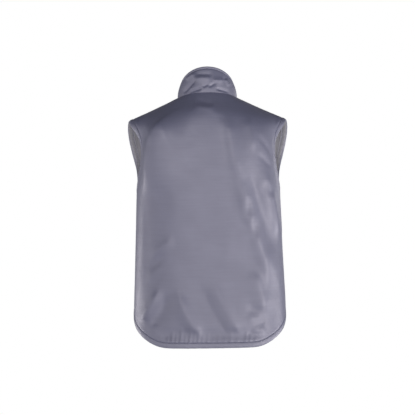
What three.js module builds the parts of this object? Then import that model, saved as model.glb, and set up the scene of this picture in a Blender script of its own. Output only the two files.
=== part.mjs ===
// Insulated work vest in its worn shape: a sleeveless padded jacket with a stand collar, bound
// armholes, a plain zipped front and a bound hem that drops to a long tail at the back.
// Millimetres. +Z is up, +Y points behind the wearer and +X is the wearer's left.
// The origin is on the centre line, level with the top of the shoulders where they meet the collar.

import * as THREE from "three";

// Cloth thicknesses, and the gap that keeps neighbouring pieces apart
const PADDED_WALL = 6;
const SEAM_WALL = 4;
const SEAM_GAP = 0.5;

// Widths of the strips along the edges
const BINDING_WIDTH = 12;
const BINDING_WALLS = [3.6, 5.4, 5];
const PADDING_START = 12;
const ZIP_HALF_WIDTH = 5;
const CHAIN_HALF_WIDTH = 2.5;
const CHAIN_THICKNESS = 4;
const ZIP_TAPE = 1.5;

// Heights of the panels' main edges, which the bindings carry on
const UNDERARM_Z = -262;
const BACK_HEM_Z = -657;
const SIDE_HEM_Z = -576;
const FRONT_HEM_Z = -600;

// The hem is level near the centre line, then rises to the side seam: where the rise starts, as
// a share of the way to the seam, and how softly it starts
const BACK_HEM_RISE = { start: 0.42, softness: 0.25 };
const FRONT_HEM_RISE = { start: 0.5, softness: 0.4 };

// Points where the seams meet
const NECK_BACK = new THREE.Vector3(0, 72, 6);
const NECK_SIDE = new THREE.Vector3(80, -6, -3);
const NECK_FRONT = new THREE.Vector3(ZIP_HALF_WIDTH, -80, -80);
const SHOULDER_TIP = new THREE.Vector3(202, 10, -57);

// Collar: its top edge is an ellipse in a plane that falls towards the front
const COLLAR_TOP = { backY: 59, backZ: 77, frontY: -88, frontZ: -24, halfWidth: 72 };
const COLLAR_BULGE = 2;
const COLLAR_PADDING = [0.7, 1, 1, 1, 0.4];

// Mesh divisions of each piece
const ROWS = { skirt: 14, armhole: 12, neckline: 6, shoulder: 6, collar: 5 };
const COLUMNS = { back: 32, front: 15 };
const SECTION_POINTS = 14;

// Degrees a row of cloth has turned where it meets the side seam
const SIDE_TURN = 89;

// Folds run out over a share of their length at each end, and over some lines of the mesh
// beside the edges of a panel
const FOLD_RUNOUT = 0.2;
const FLAT_LINES = 1;
const FULL_LINES = 4;

// Sides of the torso, one row for each level from the hem to the underarm
const SIDE_SECTIONS = [
  { level: -690, halfWidth: 205, sideY: -6, squareness: 3 },
  { level: -590, halfWidth: 206, sideY: -6, squareness: 3 },
  { level: -500, halfWidth: 203, sideY: -5, squareness: 3 },
  { level: -400, halfWidth: 199, sideY: -4, squareness: 3 },
  { level: -320, halfWidth: 196, sideY: -3, squareness: 3 },
  { level: UNDERARM_Z, halfWidth: 194, sideY: -2, squareness: 3 },
];

// Centre lines of the back and of the front, seen from the side
const BACK_PROFILE = [
  { level: -690, y: 119 },
  { level: -590, y: 116 },
  { level: -500, y: 114 },
  { level: -400, y: 117 },
  { level: -320, y: 122 },
  { level: -250, y: 127 },
  { level: -190, y: 128 },
  { level: -130, y: 125 },
  { level: -90, y: 122 },
  { level: -62, y: 117 },
  { level: -35, y: 104 },
  { level: -12, y: 85 },
  { level: NECK_BACK.z, y: NECK_BACK.y },
];
const FRONT_PROFILE = [
  { level: -690, y: -120 },
  { level: -590, y: -122 },
  { level: -500, y: -125 },
  { level: -400, y: -129 },
  { level: -320, y: -130 },
  { level: -250, y: -127 },
  { level: -190, y: -119 },
  { level: -130, y: -104 },
  { level: NECK_FRONT.z, y: NECK_FRONT.y },
];

// Plan shape of the rows above the underarm: station 0 is the underarm, 1 the shoulder tip and
// 2 the neck. Turn is how many degrees a row has turned where it reaches its outer edge, arch is
// how much it bows away from a straight line, fall is how soon it sinks towards the shoulder, and
// lift is how late it leaves its inner level.
const BACK_ROWS = [
  { station: 0, turn: SIDE_TURN, squareness: 3, arch: 1, fall: 1, lift: 3 },
  { station: 0.3, turn: 72, squareness: 3.6, arch: 1, fall: 1, lift: 3 },
  { station: 0.6, turn: 66, squareness: 4.2, arch: 1, fall: 1, lift: 3 },
  { station: 0.8, turn: 64, squareness: 3.8, arch: 1, fall: 1.5, lift: 3 },
  { station: 1, turn: 62, squareness: 2.8, arch: 1, fall: 1.8, lift: 3 },
  { station: 1.5, turn: 74, squareness: 2.1, arch: 1, fall: 1.3, lift: 3 },
  { station: 2, turn: SIDE_TURN, squareness: 2, arch: 1, fall: 1, lift: 3 },
];
const FRONT_ROWS = [
  { station: 0, turn: SIDE_TURN, squareness: 3, arch: 1, fall: 1, lift: 3 },
  { station: 0.3, turn: 66, squareness: 2.6, arch: 1, fall: 1, lift: 3 },
  { station: 0.6, turn: 55, squareness: 2.2, arch: 0.9, fall: 1, lift: 2 },
  { station: 0.8, turn: 55, squareness: 2, arch: 0.5, fall: 1, lift: 1.4 },
  { station: 1, turn: 60, squareness: 2, arch: 0, fall: 1, lift: 1 },
];

// Armhole edges of the wearer's left side, from the underarm up to the shoulder tip
const BACK_ARMHOLE = [
  { x: 194, y: -2, z: UNDERARM_Z },
  { x: 193, y: 18, z: -256 },
  { x: 188, y: 39, z: -231 },
  { x: 180, y: 54, z: -194 },
  { x: 175, y: 60, z: -152 },
  { x: 178, y: 55, z: -112 },
  { x: 191, y: 40, z: -84 },
  { x: 201, y: 25, z: -67 },
  { x: SHOULDER_TIP.x, y: SHOULDER_TIP.y, z: SHOULDER_TIP.z },
];
const FRONT_ARMHOLE = [
  { x: 194, y: -2, z: UNDERARM_Z },
  { x: 193, y: -22, z: -256 },
  { x: 190, y: -46, z: -231 },
  { x: 190, y: -63, z: -194 },
  { x: 200, y: -68, z: -152 },
  { x: 209, y: -58, z: -110 },
  { x: 211, y: -37, z: -78 },
  { x: 207, y: -12, z: -60 },
  { x: SHOULDER_TIP.x, y: SHOULDER_TIP.y, z: SHOULDER_TIP.z },
];

// Front neckline of the wearer's left side, from the zip to the shoulder seam
const FRONT_NECKLINE = [
  { x: NECK_FRONT.x, y: NECK_FRONT.y, z: NECK_FRONT.z },
  { x: 36, y: -76, z: -73 },
  { x: 59, y: -61, z: -53 },
  { x: 74, y: -37, z: -28 },
  { x: NECK_SIDE.x, y: NECK_SIDE.y, z: NECK_SIDE.z },
];

// Main folds of the back and of the fronts, as seen square on: each runs from one place to
// another with a sideways bow, is so wide from its middle to its foot, and stands out or, with
// a negative height, sinks in.
const BACK_FOLDS = [
  { fromX: -62, fromZ: -80, toX: -82, toZ: -200, bow: 0, width: 26, height: 3 },
  { fromX: -84, fromZ: -210, toX: -158, toZ: -478, bow: 8, width: 30, height: 7 },
  { fromX: -56, fromZ: -200, toX: -134, toZ: -510, bow: 6, width: 24, height: -4 },
  { fromX: -105, fromZ: -215, toX: -166, toZ: -400, bow: 4, width: 20, height: -5 },
  { fromX: -152, fromZ: -242, toX: -174, toZ: -386, bow: 0, width: 18, height: 4 },
  { fromX: -118, fromZ: -480, toX: -142, toZ: -585, bow: 0, width: 22, height: 4 },
  { fromX: -10, fromZ: -480, toX: -81, toZ: -650, bow: 0, width: 26, height: 6 },
  { fromX: 16, fromZ: -492, toX: -21, toZ: -650, bow: 0, width: 20, height: -3 },
  { fromX: 84, fromZ: -530, toX: 12, toZ: -652, bow: 0, width: 30, height: 6 },
  { fromX: 104, fromZ: -536, toX: 150, toZ: -623, bow: 0, width: 22, height: -5 },
  { fromX: 131, fromZ: -513, toX: 174, toZ: -597, bow: 0, width: 18, height: 5 },
  { fromX: 126, fromZ: -255, toX: 148, toZ: -400, bow: 0, width: 40, height: -4 },
  { fromX: 60, fromZ: -20, toX: -60, toZ: -22, bow: 8, width: 18, height: -3 },
];
const FRONT_FOLDS = [
  { fromX: 70, fromZ: -130, toX: 60, toZ: -330, bow: 10, width: 34, height: -4 },
  { fromX: 150, fromZ: -220, toX: 120, toZ: -470, bow: 8, width: 32, height: 4 },
  { fromX: 95, fromZ: -380, toX: 80, toZ: -590, bow: 0, width: 30, height: -4 },
  { fromX: 140, fromZ: -430, toX: 165, toZ: -575, bow: 0, width: 26, height: 4 },
];

// Finishes
const SHELL_CLOTH = { color: 0x83808f, roughness: 0.62, metalness: 0 };
const BINDING_CLOTH = { color: 0x8b8994, roughness: 0.7, metalness: 0 };
const ZIP_FINISH = { color: 0x6f6d7a, roughness: 0.5, metalness: 0 };

const UP = new THREE.Vector3(0, 0, 1);
const LEFT = new THREE.Vector3(1, 0, 0);

// A smooth function of the first column of a table: it gives every other column at any place
function smoothTable(rows) {
  const [key, ...names] = Object.keys(rows[0]);
  const places = rows.map((row) => row[key]);
  const values = rows.flatMap((row) => names.map((name) => row[name]));
  const spline = new THREE.CubicInterpolant(places, values, names.length, []);
  return (place) => {
    const found = spline.evaluate(place);
    return Object.fromEntries(names.map((name, index) => [name, found[index]]));
  };
}

function curveThrough(rows) {
  return new THREE.CatmullRomCurve3(rows.map(({ x, y, z }) => new THREE.Vector3(x, y, z)));
}

const sideAt = smoothTable(SIDE_SECTIONS);
const backLineAt = smoothTable(BACK_PROFILE);
const frontLineAt = smoothTable(FRONT_PROFILE);
const backRowAt = smoothTable(BACK_ROWS);
const frontRowAt = smoothTable(FRONT_ROWS);
const backArmhole = curveThrough(BACK_ARMHOLE);
const frontArmhole = curveThrough(FRONT_ARMHOLE);
const frontNeckline = curveThrough(FRONT_NECKLINE);

// Half a row of cloth, from its inner end to its outer edge: part of a rounded oblong in plan
function halfRow(inner, outer, { turn, squareness, arch, fall, lift }) {
  const power = 2 / squareness;
  const last = THREE.MathUtils.degToRad(turn);
  const points = [];
  for (let i = 0; i <= SECTION_POINTS; i += 1) {
    const share = i / SECTION_POINTS;
    const angle = share * last;
    const across = (Math.sin(angle) / Math.sin(last)) ** power;
    const floor = Math.cos(last) ** power;
    const out = ((Math.cos(angle) ** power - floor) / (1 - floor)) ** fall;
    const depth = THREE.MathUtils.lerp(1 - across, out, arch);
    points.push(new THREE.Vector3(
      THREE.MathUtils.lerp(inner.x, outer.x, across),
      THREE.MathUtils.lerp(outer.y, inner.y, depth),
      THREE.MathUtils.lerp(inner.z, outer.z, across ** lift),
    ));
  }
  return points;
}

// The same place or direction on the other side of the body
function acrossBody(vector) {
  return new THREE.Vector3(-vector.x, vector.y, vector.z);
}

// A whole back row runs from the wearer's left edge over the centre to the right edge
function fullRow(half) {
  return [...half].reverse().concat(half.slice(1).map(acrossBody));
}

// Shares of a row at which its columns stand: a flat strip of a set width at each end, and even
// spacing between the two strips
function columnShares(length, count) {
  const strip = PADDING_START / length;
  const shares = [0];
  for (let i = 0; i <= count - 2; i += 1) {
    shares.push(THREE.MathUtils.lerp(strip, 1 - strip, i / (count - 2)));
  }
  return [...shares, 1];
}

// Hem height at a share of the way from the centre line to the side seam
function hemHeight(share, lowest, { start, softness }) {
  const run = Math.max(0, (share - start) / (1 - start));
  const rise = (Math.hypot(run, softness) - softness) / (Math.hypot(1, softness) - softness);
  return THREE.MathUtils.lerp(lowest, SIDE_HEM_Z, rise);
}

// Heights of the skirt rows: the strip along the hem, then even steps up to the underarm
function skirtHeights(hem) {
  const start = hem + PADDING_START;
  const heights = [hem];
  for (let i = 0; i <= ROWS.skirt; i += 1) {
    heights.push(THREE.MathUtils.lerp(start, UNDERARM_Z, i / ROWS.skirt));
  }
  return heights;
}

const SKIRT_ROWS = ROWS.skirt + 1;
const ARMHOLE_ROWS = SKIRT_ROWS + ROWS.armhole;
const NECK_FRONT_ROW = ARMHOLE_ROWS - ROWS.neckline;

// Mid-surface of the torso wall at one level, as a curve across the back or half the front
function torsoSection(level, line, innerX) {
  const side = sideAt(level);
  const inner = new THREE.Vector3(innerX, line(level).y, level);
  const outer = new THREE.Vector3(side.halfWidth, side.sideY, level);
  const { squareness } = side;
  return halfRow(inner, outer, { turn: SIDE_TURN, squareness, arch: 1, fall: 1, lift: 1 });
}

function backGrid() {
  const grid = [];
  const underarm = new THREE.CatmullRomCurve3(fullRow(torsoSection(UNDERARM_Z, backLineAt, 0)));
  const shares = columnShares(underarm.getLength(), COLUMNS.back);
  for (let row = 0; row < SKIRT_ROWS; row += 1) {
    grid.push(shares.map((share) => {
      const fromCentre = Math.abs(2 * share - 1);
      const level = skirtHeights(hemHeight(fromCentre, BACK_HEM_Z, BACK_HEM_RISE))[row];
      const section = fullRow(torsoSection(level, backLineAt, 0));
      return new THREE.CatmullRomCurve3(section).getPointAt(share);
    }));
  }
  const upper = ROWS.armhole + ROWS.shoulder;
  for (let row = 0; row <= upper; row += 1) {
    const onArmhole = row <= ROWS.armhole;
    const part = onArmhole ? row / ROWS.armhole : (row - ROWS.armhole) / ROWS.shoulder;
    const edge = onArmhole
      ? backArmhole.getPointAt(part)
      : SHOULDER_TIP.clone().lerp(NECK_SIDE, part);
    const level = onArmhole
      ? THREE.MathUtils.lerp(UNDERARM_Z, SHOULDER_TIP.z, part)
      : THREE.MathUtils.lerp(SHOULDER_TIP.z, NECK_BACK.z, part);
    const centre = new THREE.Vector3(0, backLineAt(level).y, level);
    const station = onArmhole ? part : 1 + part;
    const curve = new THREE.CatmullRomCurve3(fullRow(halfRow(centre, edge, backRowAt(station))));
    const places = columnShares(curve.getLength(), COLUMNS.back);
    grid.push(places.map((share) => curve.getPointAt(share)));
  }
  return grid;
}

function frontGrid() {
  const grid = [];
  const widest = torsoSection(UNDERARM_Z, frontLineAt, ZIP_HALF_WIDTH);
  const underarm = new THREE.CatmullRomCurve3(widest);
  const shares = columnShares(underarm.getLength(), COLUMNS.front);
  for (let row = 0; row < SKIRT_ROWS; row += 1) {
    grid.push(shares.map((share) => {
      const level = skirtHeights(hemHeight(share, FRONT_HEM_Z, FRONT_HEM_RISE))[row];
      const section = torsoSection(level, frontLineAt, ZIP_HALF_WIDTH);
      return new THREE.CatmullRomCurve3(section).getPointAt(share);
    }));
  }
  const zipRows = ROWS.armhole - ROWS.neckline;
  for (let row = 0; row <= ROWS.armhole; row += 1) {
    const part = row / ROWS.armhole;
    const outer = frontArmhole.getPointAt(part);
    const level = THREE.MathUtils.lerp(UNDERARM_Z, NECK_FRONT.z, Math.min(1, row / zipRows));
    const inner = row <= zipRows
      ? new THREE.Vector3(ZIP_HALF_WIDTH, frontLineAt(level).y, level)
      : frontNeckline.getPointAt((row - zipRows) / ROWS.neckline);
    const curve = new THREE.CatmullRomCurve3(halfRow(inner, outer, frontRowAt(part)));
    const places = columnShares(curve.getLength(), COLUMNS.front);
    grid.push(places.map((share) => curve.getPointAt(share)));
  }
  return grid;
}

// Outward normals of a grid of points, from each point's neighbours
function gridNormals(grid) {
  const lastRow = grid.length - 1;
  return grid.map((line, row) => [...line.keys()].map((column) => {
    const after = line[Math.min(line.length - 1, column + 1)];
    const before = line[Math.max(0, column - 1)];
    const above = grid[Math.min(lastRow, row + 1)][column];
    const below = grid[Math.max(0, row - 1)][column];
    const across = after.clone().sub(before);
    return across.cross(above.clone().sub(below)).normalize();
  }));
}

// Height of the folds at a point of the cloth, faded out towards the edges of the panel
function foldHeight(point, folds) {
  let height = 0;
  for (const fold of folds) {
    const from = new THREE.Vector2(fold.fromX, fold.fromZ);
    const to = new THREE.Vector2(fold.toX, fold.toZ);
    const run = to.clone().sub(from);
    const side = new THREE.Vector2(-run.y, run.x).normalize();
    const place = new THREE.Vector2(point.x, point.z).sub(from);
    const along = place.dot(run) / run.lengthSq();
    const middle = fold.bow * 4 * along * (1 - along);
    const off = Math.min(1, Math.abs(place.dot(side) - middle) / fold.width);
    const toEnd = Math.min(along, 1 - along);
    const taper = THREE.MathUtils.smoothstep(toEnd, -FOLD_RUNOUT, FOLD_RUNOUT);
    height += fold.height * taper * 0.5 * (1 + Math.cos(Math.PI * off));
  }
  return height;
}

function foldGrid(grid, folds) {
  const normals = gridNormals(grid);
  const lastRow = grid.length - 1;
  return grid.map((line, row) => line.map((point, column) => {
    const fromEdge = Math.min(row, lastRow - row, column, line.length - 1 - column);
    const fade = THREE.MathUtils.smoothstep(fromEdge, FLAT_LINES, FULL_LINES);
    return point.clone().addScaledVector(normals[row][column], fade * foldHeight(point, folds));
  }));
}

// A panel: its mid-surface, its outward normals and how far its padding has grown at each point
function panel(name, grid, paddingAt) {
  return {
    name,
    points: grid,
    normals: gridNormals(grid),
    walls: grid.map((line, row) => [...line.keys()].map((column) => (
      THREE.MathUtils.lerp(SEAM_WALL, PADDED_WALL, paddingAt(row, column))
    ))),
  };
}

// Padding is pressed flat along every edge of a panel
function padding(rows, columns) {
  return (row, column) => {
    const onEdge = row === 0 || row === rows || column === 0 || column === columns;
    return onEdge ? 0 : 1;
  };
}

// The same panel on the other side of the body
function mirrored(source, name) {
  return {
    name,
    points: source.points.map((line) => line.map(acrossBody).reverse()),
    normals: source.normals.map((line) => line.map(acrossBody).reverse()),
    walls: source.walls.map((line) => [...line].reverse()),
  };
}

// A closed wall of cloth: a flat box with one cell for each cell of the grid, bent to the grid
// and as thick as its walls say
function clothWall({ name, points, normals, walls }, finish) {
  const rows = points.length - 1;
  const columns = points[0].length - 1;
  const geometry = new THREE.BoxGeometry(1, 1, 1, columns, rows, 1);
  const corners = geometry.getAttribute("position");
  for (let i = 0; i < corners.count; i += 1) {
    const column = Math.round((corners.getX(i) + 0.5) * columns);
    const row = Math.round((corners.getY(i) + 0.5) * rows);
    const out = corners.getZ(i) * walls[row][column];
    const place = points[row][column].clone().addScaledVector(normals[row][column], out);
    corners.setXYZ(i, place.x, place.y, place.z);
  }
  geometry.computeVertexNormals();
  const mesh = new THREE.Mesh(geometry, new THREE.MeshStandardMaterial(finish));
  mesh.name = name;
  return mesh;
}

// Draws an edge of a panel back by half the seam gap, towards the next line of its grid
function drawBack(point, next) {
  const inward = next.clone().sub(point).normalize();
  return point.clone().addScaledVector(inward, SEAM_GAP / 2);
}

const lastBack = COLUMNS.back;
const lastFront = COLUMNS.front;
const neckRow = ARMHOLE_ROWS + ROWS.shoulder;
const backFolded = foldGrid(backGrid(), BACK_FOLDS);
const back = panel("back_panel", backFolded, padding(neckRow, lastBack));
const frontFolded = foldGrid(frontGrid(), FRONT_FOLDS);
const frontLeft = panel("front_left", frontFolded, padding(ARMHOLE_ROWS, lastFront));

// Shared directions along the side seams and the shoulder seams, so that the walls meet flush
const shoulderLine = NECK_SIDE.clone().sub(SHOULDER_TIP).normalize();
const shoulderNormal = UP.clone().projectOnPlane(shoulderLine).normalize();
for (let row = 0; row <= SKIRT_ROWS; row += 1) {
  back.normals[row][0].copy(LEFT);
  back.normals[row][lastBack].copy(LEFT).negate();
  frontLeft.normals[row][lastFront].copy(LEFT);
}
for (let row = ARMHOLE_ROWS; row <= neckRow; row += 1) {
  back.normals[row][0].copy(shoulderNormal);
  back.normals[row][lastBack].copy(acrossBody(shoulderNormal));
}
frontLeft.normals[ARMHOLE_ROWS].forEach((normal) => normal.copy(shoulderNormal));

// A station on the edge of a piece: a place of its grid and the direction there
function station({ points, normals }, row, column) {
  return { point: points[row][column], normal: normals[row][column] };
}

// Neckline stations on the wearer's left, from the zip round to the centre back
const halfBack = COLUMNS.back / 2;
const neckStations = [];
for (let row = NECK_FRONT_ROW; row < ARMHOLE_ROWS; row += 1) {
  neckStations.push(station(frontLeft, row, 0));
}
for (let column = 0; column <= halfBack; column += 1) {
  neckStations.push(station(back, neckRow, column));
}

// Top edge of the collar on the wearer's left, from the zip round to the centre back
function collarEdge() {
  const { backY, backZ, frontY, frontZ, halfWidth } = COLLAR_TOP;
  const middleY = (backY + frontY) / 2;
  const reach = (backY - frontY) / 2;
  const fall = (backZ - frontZ) / (backY - frontY);
  const first = Math.asin(ZIP_HALF_WIDTH / halfWidth);
  const points = [];
  for (let i = 0; i <= SECTION_POINTS; i += 1) {
    const angle = THREE.MathUtils.lerp(first, Math.PI, i / SECTION_POINTS);
    const y = middleY - reach * Math.cos(angle);
    points.push(new THREE.Vector3(halfWidth * Math.sin(angle), y, backZ + (y - backY) * fall));
  }
  return new THREE.CatmullRomCurve3(points);
}

// Columns of the collar on the wearer's left, each a line from the neckline to the top edge
function collarColumns() {
  const edge = collarEdge();
  const steps = neckStations.map(({ point }, index) => (
    index === 0 ? 0 : point.distanceTo(neckStations[index - 1].point)
  ));
  const length = steps.reduce((sum, step) => sum + step, 0);
  let walked = 0;
  return neckStations.map(({ point }, index) => {
    walked += steps[index];
    const crest = edge.getPointAt(Math.min(1, walked / length));
    const away = new THREE.Vector3(point.x, point.y, 0).normalize();
    const column = [];
    for (let row = 0; row <= ROWS.collar; row += 1) {
      const share = row / ROWS.collar;
      const bulge = COLLAR_BULGE * 4 * share * (1 - share);
      column.push(point.clone().lerp(crest, share).addScaledVector(away, bulge));
    }
    return column;
  });
}

function collarGrid() {
  const columns = collarColumns();
  const grid = [];
  for (let row = 0; row <= ROWS.collar; row += 1) {
    const left = columns.map((column) => column[row]);
    const right = left.slice(0, -1).map(acrossBody).reverse();
    grid.push([...left, ...right]);
  }
  return grid;
}

const collar = panel("collar", collarGrid(), (row) => (row === 0 ? 0 : COLLAR_PADDING[row - 1]));

// The collar and the panels share one direction at each neckline station
neckStations.forEach(({ normal }, index) => {
  const shared = normal.clone().add(collar.normals[0][index]).normalize();
  const onBack = index - ROWS.neckline;
  collar.normals[0][index].copy(shared);
  collar.normals[0].at(-1 - index).copy(acrossBody(shared));
  normal.copy(shared);
  if (onBack >= 0) back.normals[neckRow][lastBack - onBack].copy(acrossBody(shared));
});
frontLeft.normals[ARMHOLE_ROWS][0].copy(back.normals[neckRow][0]);

// Round the hem: from the zip along the left front, the back and the right front
function hemPath() {
  const path = [];
  for (let column = 0; column <= lastFront; column += 1) path.push(station(frontLeft, 0, column));
  const right = path.map(({ point, normal }) => (
    { point: acrossBody(point), normal: acrossBody(normal) }
  ));
  for (let column = 1; column < lastBack; column += 1) path.push(station(back, 0, column));
  return [...path, ...right.reverse()];
}

// Round the wearer's left armhole: up the front edge, over the shoulder tip, down the back edge
function armholePath() {
  const path = [];
  for (let row = SKIRT_ROWS; row < ARMHOLE_ROWS; row += 1) {
    path.push(station(frontLeft, row, lastFront));
  }
  for (let row = ARMHOLE_ROWS; row >= SKIRT_ROWS; row -= 1) path.push(station(back, row, 0));
  return path;
}

// Tape folded over a bound edge, with the edge inside it: a strip that carries the panel on
function boundStrip(name, path, closed) {
  const last = path.length - 1;
  const grid = BINDING_WALLS.map(() => []);
  path.forEach(({ point, normal }, index) => {
    const before = path[index > 0 ? index - 1 : (closed ? last - 1 : 0)].point;
    const after = path[index < last ? index + 1 : (closed ? 1 : last)].point;
    const out = after.clone().sub(before).cross(normal).normalize();
    const share = 1 / (BINDING_WALLS.length - 1);
    grid.forEach((line, row) => {
      const reach = BINDING_WIDTH * (1 - row * share);
      line.push(point.clone().addScaledVector(out, Math.max(reach, SEAM_GAP / 2)));
    });
  });
  if (closed) {
    for (const line of grid) line[0] = drawBack(line[0], line[1]);
    for (const line of grid) line[last] = drawBack(line[last], line[last - 1]);
  }
  return {
    name,
    points: grid,
    normals: grid.map(() => path.map(({ normal }) => normal)),
    walls: BINDING_WALLS.map((wall) => path.map(() => wall)),
  };
}

// The zip fills the gap between the fronts and between the ends of the collar: a tape with a
// thicker chain along its middle
function zipGrid() {
  const line = [station(hemBinding, 0, 0)];
  for (let row = 0; row <= NECK_FRONT_ROW; row += 1) line.push(station(frontLeft, row, 0));
  for (let row = 1; row <= ROWS.collar; row += 1) line.push(station(collar, row, 0));
  const tapeEdge = ZIP_HALF_WIDTH - SEAM_GAP;
  const chainFoot = CHAIN_HALF_WIDTH + SEAM_GAP / 2;
  const half = [
    { x: tapeEdge, wall: ZIP_TAPE },
    { x: chainFoot, wall: ZIP_TAPE },
    { x: CHAIN_HALF_WIDTH, wall: CHAIN_THICKNESS },
  ];
  const across = half.map(({ x, wall }) => ({ x: -x, wall })).concat([...half].reverse());
  return {
    name: "front_zip",
    points: line.map(({ point }) => across.map(({ x }) => new THREE.Vector3(x, point.y, point.z))),
    normals: line.map(({ normal }) => across.map(() => normal.clone().setX(0).normalize())),
    walls: line.map(() => across.map(({ wall }) => wall)),
  };
}

const hemBinding = boundStrip("hem_binding", hemPath(), false);
const leftBinding = boundStrip("armhole_binding_left", armholePath(), true);
const zip = zipGrid();

// Draw the sewn edges back from their seams
function drawBackColumn({ points }, column, next, firstRow, lastRow) {
  for (let row = firstRow; row <= lastRow; row += 1) {
    points[row][column] = drawBack(points[row][column], points[row][next]);
  }
}

function drawBackRow({ points }, row, next) {
  points[row] = points[row].map((point, column) => drawBack(point, points[next][column]));
}

drawBackColumn(back, 0, 1, 0, neckRow);
drawBackColumn(back, lastBack, lastBack - 1, 0, neckRow);
drawBackRow(back, 0, 1);
drawBackRow(back, neckRow, neckRow - 1);
drawBackColumn(frontLeft, lastFront, lastFront - 1, 0, ARMHOLE_ROWS);
drawBackColumn(frontLeft, 0, 1, NECK_FRONT_ROW, ARMHOLE_ROWS);
drawBackRow(frontLeft, 0, 1);
drawBackRow(frontLeft, ARMHOLE_ROWS, ARMHOLE_ROWS - 1);
drawBackRow(collar, 0, 1);

const vest = new THREE.Group();
vest.add(clothWall(back, SHELL_CLOTH));
vest.add(clothWall(frontLeft, SHELL_CLOTH));
vest.add(clothWall(mirrored(frontLeft, "front_right"), SHELL_CLOTH));
vest.add(clothWall(collar, SHELL_CLOTH));
vest.add(clothWall(hemBinding, BINDING_CLOTH));
vest.add(clothWall(leftBinding, BINDING_CLOTH));
vest.add(clothWall(mirrored(leftBinding, "armhole_binding_right"), BINDING_CLOTH));
vest.add(clothWall(zip, ZIP_FINISH));

export default vest;
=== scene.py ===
# %% [markdown]
# # A padded work vest
# The vest is a thin padded shell, worn and seen from behind. The CAD frame already holds its
# cut and its main folds as closed walls. This lesson turns each wall into soft cloth, binds the
# edges, sews them, and puts a zip in the front. Everything is in metres, with +Z up and +Y
# behind the wearer.

# %% Load the frame
import math

import bmesh
import bpy
import numpy as np
from mathutils import Matrix, Vector, noise
from mathutils.bvhtree import BVHTree
from mathutils.kdtree import KDTree


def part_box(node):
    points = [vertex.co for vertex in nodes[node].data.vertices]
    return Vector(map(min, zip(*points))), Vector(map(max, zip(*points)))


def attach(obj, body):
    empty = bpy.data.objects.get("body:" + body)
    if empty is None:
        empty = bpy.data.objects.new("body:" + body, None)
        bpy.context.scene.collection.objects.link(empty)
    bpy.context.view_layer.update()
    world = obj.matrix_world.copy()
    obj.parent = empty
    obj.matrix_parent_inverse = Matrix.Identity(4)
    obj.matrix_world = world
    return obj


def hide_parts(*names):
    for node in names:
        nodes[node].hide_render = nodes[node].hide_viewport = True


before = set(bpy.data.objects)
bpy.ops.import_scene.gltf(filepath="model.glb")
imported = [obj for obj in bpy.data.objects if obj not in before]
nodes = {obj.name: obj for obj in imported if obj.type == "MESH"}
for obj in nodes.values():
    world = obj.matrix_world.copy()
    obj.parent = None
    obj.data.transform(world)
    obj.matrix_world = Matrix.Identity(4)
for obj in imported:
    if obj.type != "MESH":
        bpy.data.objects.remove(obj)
scene = bpy.context.scene
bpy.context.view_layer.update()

# %% [markdown]
# ## Camera
# The photograph is taken level, square on to the back, from far enough away that the sides stay
# nearly parallel. A long lens at 2.4 m gives that. The whole vest leans a little to the left in
# the picture, so the camera is rolled by less than a degree instead of bending the cloth.

# %% Camera
PICTURE = 415
METRES_PER_PIXEL = 0.00275
CAMERA_DISTANCE = 2.4
CAMERA_ROLL = math.radians(0.7)
aim = Vector((0.003, 0, -0.301))

camera_data = bpy.data.cameras.new("camera")
camera_data.lens = camera_data.sensor_width * CAMERA_DISTANCE / (PICTURE * METRES_PER_PIXEL)
camera = bpy.data.objects.new("camera", camera_data)
scene.collection.objects.link(camera)
facing = Vector((0, -1, 0)).to_track_quat("-Z", "Y").to_matrix().to_4x4()
camera.matrix_world = (
    Matrix.Translation(aim + Vector((0, CAMERA_DISTANCE, 0)))
    @ facing
    @ Matrix.Rotation(-CAMERA_ROLL, 4, "Z")
)
scene.camera = camera
print("lens", round(camera_data.lens, 1), "mm")

# %% [markdown]
# ## Light and floor
# The picture has a white studio all round and no lamp overhead: the shoulders are the darkest
# part and the turned-away sides are the lightest. A sky that is bright at eye level and dark
# overhead does that without any lamp showing in the cloth. Its brightness is the product of
# three ramps, one along each axis, so that each can be tuned alone. The camera itself sees plain
# white. Five weak soft lamps, most of them low, lift the edges and give the folds their shape.

# %% Sky
SKY_STRENGTH = 2.9

world = bpy.data.worlds.new("studio")
scene.world = world
world.use_nodes = True
sky = world.node_tree
sky.nodes.clear()
sky_way = sky.nodes.new("ShaderNodeTexCoord")
sky_split = sky.nodes.new("ShaderNodeSeparateXYZ")
sky.links.new(sky_way.outputs["Generated"], sky_split.inputs["Vector"])


def sky_band(axis, stops):
    """Brightness of the studio along one axis, as a ramp from -1 to 1"""
    place = sky.nodes.new("ShaderNodeMapRange")
    place.inputs["From Min"].default_value = -1
    band = sky.nodes.new("ShaderNodeValToRGB")
    band.color_ramp.interpolation = "CARDINAL"
    for index, (where, bright) in enumerate(stops):
        # A new ramp already has two stops
        elements = band.color_ramp.elements
        stop = elements[index] if index < 2 else elements.new(where)
        stop.position = where
        stop.color = (bright, bright, bright, 1)
    sky.links.new(sky_split.outputs[axis], place.inputs["Value"])
    sky.links.new(place.outputs["Result"], band.inputs["Fac"])
    return band.outputs["Color"]


def sky_product(first, second):
    """Two bands multiplied together"""
    product = sky.nodes.new("ShaderNodeMix")
    product.data_type = "RGBA"
    product.blend_type = "MULTIPLY"
    product.inputs["Factor"].default_value = 1
    sky.links.new(first, product.inputs["A"])
    sky.links.new(second, product.inputs["B"])
    return product.outputs["Result"]


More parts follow.
